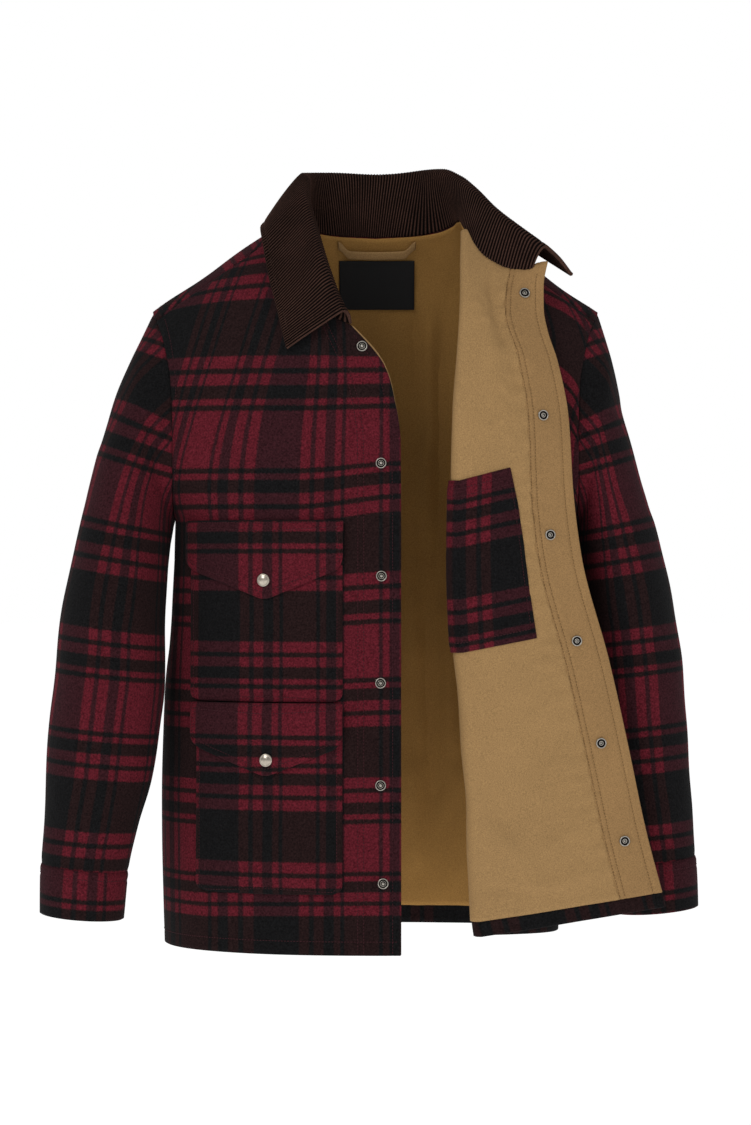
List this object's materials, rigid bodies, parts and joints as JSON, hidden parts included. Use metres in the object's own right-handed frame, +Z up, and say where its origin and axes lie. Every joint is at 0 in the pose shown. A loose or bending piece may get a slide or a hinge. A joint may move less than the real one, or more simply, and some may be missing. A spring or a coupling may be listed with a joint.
{
  "type": "insulated jacket",
  "caption": "Plaid wool jacket with a corduroy collar, snap front and flap pockets, standing hollow as worn, one front turned back to show the lining.",
  "frame": {"origin": "middle of the neck's base, on the line of the shoulders", "axes": "+X to the viewer's right (the wearer's left), the front faces -Y, +Z up"},
  "size_m": [0.6971, 0.2907, 0.8321],
  "materials": {
    "plaid_wool": "napped twill, red and black plaid",
    "tan_cotton": "plain tan cotton",
    "brown_corduroy": "dark brown corduroy",
    "dark_label": "bare black woven label",
    "pewter_snap": "satin pewter"
  },
  "bodies": {
    "root": {"back": "plaid_wool", "right_front": "plaid_wool", "left_front": "plaid_wool", "right_sleeve": "plaid_wool", "left_sleeve": "plaid_wool", "right_cuff": "plaid_wool", "left_cuff": "plaid_wool", "chest_pocket": "plaid_wool", "chest_flap": "plaid_wool", "lower_pocket": "plaid_wool", "lower_flap": "plaid_wool", "inner_pocket": "plaid_wool", "back_lining": "tan_cotton", "left_front_lining": "tan_cotton", "left_front_facing": "tan_cotton", "right_front_facing": "tan_cotton", "hanger_loop": "tan_cotton", "collar": "brown_corduroy", "label": "dark_label", "stud_1": "pewter_snap", "stud_2": "pewter_snap", "stud_3": "pewter_snap", "stud_4": "pewter_snap", "stud_5": "pewter_snap", "stud_6": "pewter_snap", "socket_1": "pewter_snap", "socket_2": "pewter_snap", "socket_3": "pewter_snap", "socket_4": "pewter_snap", "socket_5": "pewter_snap", "socket_6": "pewter_snap", "chest_flap_cap": "pewter_snap", "lower_flap_cap": "pewter_snap"}
  },
  "joints": []
}
